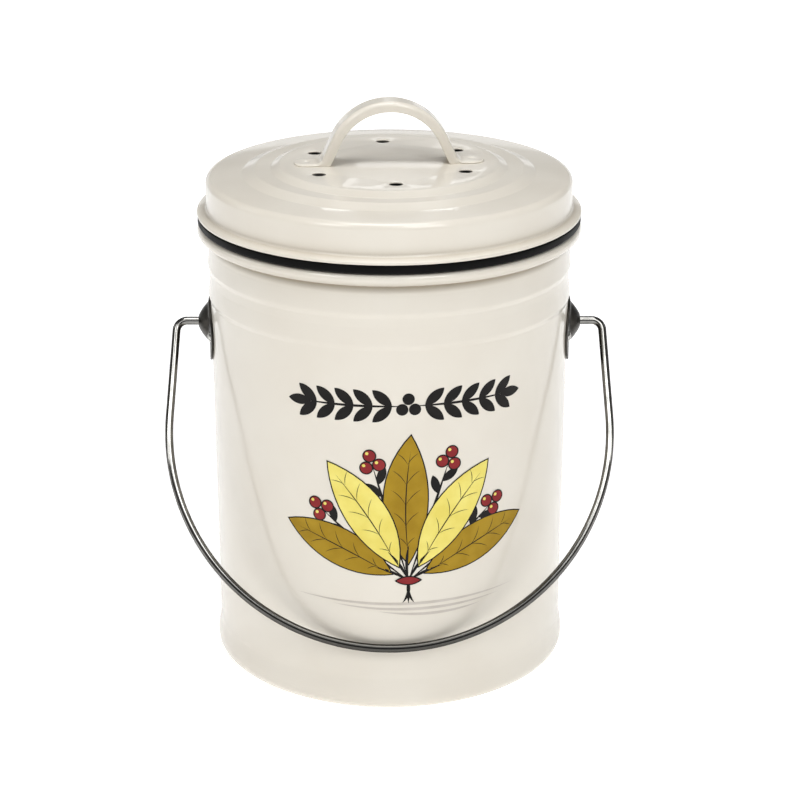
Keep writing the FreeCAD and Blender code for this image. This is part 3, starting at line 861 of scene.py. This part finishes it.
def makeClip(index):
    bm = bmesh.new()
    sheet, bend = clip["sheet"], clip["bend"]
    inside = discEdge - pad["inset"] + clip["sideGap"]
    outside = inside + sheet
    top = lid["disc"] - lid["sheet"]
    hook = pad["low"] - clip["play"]
    weldEnd, hookEnd = outside - clip["weld"], outside - clip["hook"]
    corners = [(weldEnd, top), (outside, top, bend + sheet), (outside, hook - sheet, bend + sheet)]
    corners += [(hookEnd, hook - sheet), (hookEnd, hook), (inside, hook, bend), (inside, top - sheet, bend)]
    addWire(bm, corners + [(weldEnd, top - sheet)], closed=True)
    face = bmesh.ops.contextual_create(bm, geom=bm.edges[:])["faces"]
    thicken(bm, face, yAxis * clip["width"])
    bmesh.ops.translate(bm, verts=bm.verts, vec=-yAxis * clip["width"] / 2)
    sharp = [edge for edge in bm.edges if edge.calc_face_angle(0) > clip["edgeFrom"]]
    roundEdges(bm, sharp, clip["edge"], clip["edgeSegments"])
    turn = lid["turn"] + clip["start"] + index * fullTurn / clip["count"]
    turnRound(bm, turn)
    number = str(index + 1)
    return makePiece("clip_" + number, bm, "lid", [clipSteel], ["filter_clip_" + number])


makeLidCover()
makeGrip()
makeSeal()
makePad()
for index in range(clip["count"]):
    makeClip(index)
print("lid done")


# Print on the pail's front: a garland over a sheaf of leaves and berries, as thin ink in numbered layers

ink = {
    "centre": 8.0 * mm, "thick": 0.02 * mm, "layer": 0.03 * mm, "rim": 0.55 * mm,
    "strip": 2.5 * mm, "strips": 26, "arcSteps": 14, "colours": list(inks),
}
garland = {
    "height": 142.5 * mm, "half": 53.0 * mm, "stem": 1.1 * mm, "pairs": 5, "start": 7.0 * mm,
    "leaf": 11.0 * mm, "leafHalf": 2.3 * mm, "spread": radians(41),
    "berries": 3, "berry": 2.6 * mm, "berrySides": 28, "cluster": 3.12 * mm,
}
sheaf = {
    "height": 62.0 * mm, "baseGap": 7.0 * mm, "stem": 1.3 * mm,
    "stalk": 11.0 * mm, "stalkSpread": radians(14),
    "leaves": [  # lean from upright, length, half width, colour
        (radians(-66), 53 * mm, 9.0 * mm, "ochre"), (radians(-33), 58 * mm, 9.5 * mm, "yellow"),
        (radians(1), 61 * mm, 10.0 * mm, "ochre"), (radians(35), 57 * mm, 9.5 * mm, "yellow"),
        (radians(67), 53 * mm, 9.0 * mm, "ochre"),
    ],
    "bendShare": 0.18, "ribStartShare": 0.05, "ribEndShare": 0.88, "rib": 0.5 * mm, "vein": 0.3 * mm,
    "veins": 5, "bareTip": 1.5, "veinLean": radians(42), "veinShare": 0.66, "veinBow": 1 / 12,
    "sprigs": [  # lean from upright, length
        (radians(-50), 50 * mm), (radians(-16), 57 * mm), (radians(18), 58 * mm), (radians(51), 50 * mm),
    ],
    "berries": 3, "berry": 3.0 * mm, "berrySides": 32, "cluster": 3.3 * mm,
    "shine": 0.7 * mm, "shineLean": radians(-45),
    "leaflet": 9.0 * mm, "leafletHalf": 1.9 * mm, "leafletLean": radians(34), "leafletShares": (0.72, 0.82),
    "tie": 6.0 * mm, "tieHalf": 2.2 * mm,
}
ground = {
    "height": 52.5 * mm, "pitch": 2.6 * mm, "lengths": [102 * mm, 76 * mm, 46 * mm],
    "stroke": 1.3 * mm, "shift": 5.0 * mm, "sag": 1.6 * mm,
}


def flatPoint(across, up):
    return Vector((across, 0, up))


def upright(angle, reach):  # a step that leans to the right of upright
    return Vector((reach * sin(angle), 0, reach * cos(angle)))


def arcTo(bm, vert, end, bulge):  # bulges to the left of its way, or to the right where bulge is negative
    way = end - vert.co
    left = Vector((-way.z, 0, way.x)).normalized()
    arc = (way.length_squared / 4 + bulge ** 2) / (2 * bulge)
    centre = (vert.co + end) / 2 + left * (bulge - arc)
    return spinVert(bm, vert, centre, 2 * asin(way.length / (2 * arc)), ink["arcSteps"])


def addPatch(bm, one, layer, colour, rim=0):  # an outline filled with colour, black-rimmed where asked
    bmesh.ops.remove_doubles(one, verts=one.verts, dist=mesh["weld"])
    face = bmesh.ops.contextual_create(one, geom=one.edges[:])["faces"][0]
    face.material_index = ink["colours"].index(colour)
    if rim:
        edging = bmesh.ops.inset_region(one, faces=[face], thickness=rim, use_boundary=True,
                                        use_even_offset=True)["faces"]
        for part in edging:
            part.material_index = ink["colours"].index("black")
    bmesh.ops.translate(one, verts=one.verts, vec=-yAxis * layer * ink["layer"])
    joinInto(bm, one)


# Leaf or stroke, pointed at both ends
def addBlade(bm, base, tip, leftBulge, rightBulge, layer, colour="black", rim=0):
    one = bmesh.new()
    start = one.verts.new(base)
    end = arcTo(one, start, tip, leftBulge)
    arcTo(one, end, base, rightBulge)
    addPatch(bm, one, layer, colour, rim)


def addStroke(bm, base, tip, width, bow, layer, colour="black"):
    addBlade(bm, base, tip, bow + width / 2, width / 2 - bow, layer, colour)


def addDot(bm, middle, radius, sides, layer, colour, rim=0):
    one = bmesh.new()
    facing = Matrix.Translation(middle) @ Matrix.Rotation(pi / 2, 4, "X")
    bmesh.ops.create_circle(one, segments=sides, radius=radius, matrix=facing)
    addPatch(bm, one, layer, colour, rim)


def addPrintLeaf(bm, foot, lean, length, half, colour, layer):
    bend = sheaf["bendShare"] * half * (1 if lean > 0 else -1)
    base = foot + upright(lean, sheaf["baseGap"])
    tip = base + upright(lean, length)
    addStroke(bm, foot, base + upright(lean, half), sheaf["stem"], bend / 2, layer)
    addBlade(bm, base, tip, half + bend, half - bend, layer, colour, ink["rim"])
    ribStart = base.lerp(tip, sheaf["ribStartShare"])
    addStroke(bm, ribStart, base.lerp(tip, sheaf["ribEndShare"]), sheaf["rib"], bend, layer + 1)
    for index in range(1, sheaf["veins"] + 1):
        share = index / (sheaf["veins"] + sheaf["bareTip"])
        swell = swellAt(share)
        root = base.lerp(tip, share) + upright(lean - pi / 2, bend * swell)
        for side in (-1, 1):
            reach = half * swell * sheaf["veinShare"] / sin(sheaf["veinLean"])
            end = root + upright(lean + side * sheaf["veinLean"], reach)
            addStroke(bm, root, end, sheaf["vein"], side * reach * sheaf["veinBow"], layer + 1)


def addSprig(bm, berries, foot, lean, length, layer):
    end = foot + upright(lean, length)
    addStroke(bm, foot, end, sheaf["stem"], 0, layer)
    for share, side in zip(sheaf["leafletShares"], (-1, 1)):
        root = foot.lerp(end, share)
        tip = root + upright(lean + side * sheaf["leafletLean"], sheaf["leaflet"])
        addBlade(bm, root, tip, sheaf["leafletHalf"], sheaf["leafletHalf"], layer)
    sides = sheaf["berrySides"]
    for index in range(sheaf["berries"]):
        middle = end + upright(lean + (index - 1) * fullTurn / sheaf["berries"], sheaf["cluster"])
        addDot(berries, middle, sheaf["berry"], sides, layer + 1 + index % 2, "red", ink["rim"])
        shine = middle + upright(sheaf["shineLean"], sheaf["berry"] / 2)
        addDot(berries, shine, sheaf["shine"], sides, layer + 3, "yellow")


def layOn(name, bm):  # cut into strips, thickened and bent round the wall
    for index in range(-ink["strips"], ink["strips"] + 1):
        place = xAxis * index * ink["strip"]
        bmesh.ops.bisect_plane(bm, geom=wiresOf(bm) + bm.faces[:], dist=mesh["weld"],
                               plane_co=place, plane_no=xAxis)
    thicken(bm, bm.faces[:], -yAxis * ink["thick"])
    for vert in bm.verts:
        turn = (vert.co.x + ink["centre"]) / wallRadius(vert.co.z)
        reach = wallRadius(vert.co.z) - vert.co.y
        vert.co = (reach * sin(turn), -reach * cos(turn), vert.co.z)
    return makePiece(name, bm, "pail", list(inks.values()))


def makeGarland():
    bm = bmesh.new()
    middle = flatPoint(0, garland["height"])
    leafHalf = garland["leafHalf"]
    for side in (-1, 1):
        outwards = side * pi / 2
        half = upright(outwards, garland["leaf"] / 2)
        start = middle + upright(outwards, garland["start"])
        end = middle + upright(outwards, garland["half"] - garland["leaf"] / 2)
        addStroke(bm, middle, end, garland["stem"], 0, 1)
        for index in range(garland["pairs"]):
            root = start.lerp(end, index / garland["pairs"])
            for turn in (-garland["spread"], garland["spread"]):
                tip = root + upright(outwards + turn, garland["leaf"])
                addBlade(bm, root, tip, leafHalf, leafHalf, 1)
        addBlade(bm, end - half, end + half, leafHalf, leafHalf, 1)
    for index in range(garland["berries"]):
        berry = middle + upright(index * fullTurn / garland["berries"], garland["cluster"])
        addDot(bm, berry, garland["berry"], garland["berrySides"], 2, "black")
    return layOn("print_garland", bm)


def makeSheaf():
    leaves, berries = bmesh.new(), bmesh.new()
    foot = flatPoint(0, sheaf["height"])
    for lean, length in sheaf["sprigs"]:
        addSprig(leaves, berries, foot, lean, length, 1)
    for index, (lean, length, half, colour) in enumerate(sheaf["leaves"]):
        addPrintLeaf(leaves, foot, lean, length, half, colour, 2 + 2 * (index % 2))
    for side in (-1, 0, 1):
        end = foot - upright(side * sheaf["stalkSpread"], sheaf["stalk"])
        addStroke(leaves, foot, end, sheaf["stem"], side * sheaf["stem"], 2)
    tie = upright(pi / 2, sheaf["tie"])
    addBlade(berries, foot - tie, foot + tie, sheaf["tieHalf"], sheaf["tieHalf"], 6, "red", ink["rim"])
    layOn("print_leaves", leaves)
    layOn("print_berries", berries)


def makeGround():
    bm = bmesh.new()
    for index, length in enumerate(ground["lengths"]):
        middle = flatPoint(index * ground["shift"], ground["height"] - index * ground["pitch"])
        ends = upright(pi / 2, length / 2)
        addStroke(bm, middle - ends, middle + ends, ground["stroke"], -ground["sag"], 1, "grey")
    return layOn("print_ground", bm)


makeGarland()
makeSheaf()
makeGround()
print("print done")


# Floor, light and camera

studio = {
    "floorSize": 12.0, "floorCells": 8, "floorColour": linear(250, 250, 250), "floorRoughness": 0.9,
    "glow": (0.48, 0.72), "glowReach": (0.25, 1.2),  # near the bin and far from it
    "skyLow": (0.2, 0.2, 0.2, 1), "skyHigh": (0.12, 0.12, 0.12, 1), "skyStrength": 1.0,
    "backdrop": (0.9, 0.9, 0.9, 1),
}
lights = [  # name, place, width, height, power
    ("overhead", (0.0, -0.2, 1.76), 0.9, 0.9, 15.0),
    ("right", (0.5, -1.1, 1.3), 0.6, 0.6, 7.0),
    ("left", (-0.8, -0.9, 1.3), 0.45, 0.45, 4.2),
    ("sideRight", (1.4, 0.3, 0.9), 0.4, 0.4, 0.5),
    ("sideLeft", (-1.4, 0.3, 0.9), 0.4, 0.4, 0.9),
    ("backdrop", (0.0, 1.2, 1.4), 0.6, 0.6, 1.0),
    ("window", (0.02, 1.53, 0.66), 0.16, 0.05, 0.05),
    ("transom", (0.0, 1.53, 0.92), 0.24, 0.07, 0.2),
    ("horizon", (0.0, 1.6, 0.33), 2.6, 0.18, 1.2),
]
wireStrip = ("wireStrip", (0.0, -0.55, 0.64), 4.2, 0.12, 5.6)  # long strip that only the bail mirrors
camera = {
    "place": (0.0, -1.00523, 0.49208), "lens": 106.31, "sensor": 36.0,
    "pitch": radians(90 - 20.53), "heading": radians(-0.27),
}


def makeFloor():
    bm = bmesh.new()
    bmesh.ops.create_grid(bm, x_segments=studio["floorCells"], y_segments=studio["floorCells"],
                          size=studio["floorSize"] / 2)
    data = bpy.data.meshes.new("floor")
    bm.to_mesh(data)
    bm.free()
    material, tree, shader = newMaterial("floor", {
        "Base Color": studio["floorColour"], "Roughness": studio["floorRoughness"],
        "Emission Color": (1, 1, 1, 1)})
    away = addNode(tree, "VectorMath", {0: objectCoords(tree)})
    away.operation = "LENGTH"
    glow = rangeOn(tree, away.outputs["Value"], studio["glow"], studio["glowReach"])
    tree.links.new(glow, shader.inputs["Emission Strength"])
    data.materials.append(material)
    floor = bpy.data.objects.new("floor", data)
    scene.collection.objects.link(floor)


def makeSky():  # soft room, a little brighter low down than overhead
    world = bpy.data.worlds.new("studio")
    world.use_nodes = True
    scene.world = world
    tree = world.node_tree
    direction = addNode(tree, "TexCoord", {}).outputs["Generated"]
    height = addNode(tree, "SeparateXYZ", {"Vector": direction}).outputs["Z"]
    sky = rampOn(tree, height, [(0.1, studio["skyLow"]), (0.8, studio["skyHigh"])])
    seen = addNode(tree, "LightPath", {}).outputs["Is Camera Ray"]
    sky = blendOn(tree, seen, sky, studio["backdrop"])  # pale behind the floor's far edge
    background = tree.nodes["Background"]
    background.inputs["Strength"].default_value = studio["skyStrength"]
    tree.links.new(sky, background.inputs["Color"])


def makeLight(name, place, width, height, power):
    data = bpy.data.lights.new(name, "AREA")
    data.shape = "RECTANGLE"
    data.size = width
    data.size_y = height
    data.energy = power
    light = bpy.data.objects.new(name, data)
    light.location = place
    aim = Vector((0, 0, cadBox[1].z / 2)) - Vector(place)
    light.rotation_euler = aim.to_track_quat("-Z", "Y").to_euler()
    light.visible_camera = False
    scene.collection.objects.link(light)
    return light


def makeCamera():
    data = bpy.data.cameras.new("camera")
    data.lens = camera["lens"]
    data.sensor_width = camera["sensor"]
    view = bpy.data.objects.new("camera", data)
    view.location = camera["place"]
    view.rotation_euler = (camera["pitch"], 0, camera["heading"])
    scene.collection.objects.link(view)
    scene.camera = view


makeFloor()
makeSky()
for settings in lights:
    makeLight(*settings)
mirrored = bpy.data.collections.new("mirrored")
mirrored.objects.link(bailHandle)
makeLight(*wireStrip).light_linking.receiver_collection = mirrored
makeCamera()
scene.view_settings.view_transform = "Standard"
print("studio ready")
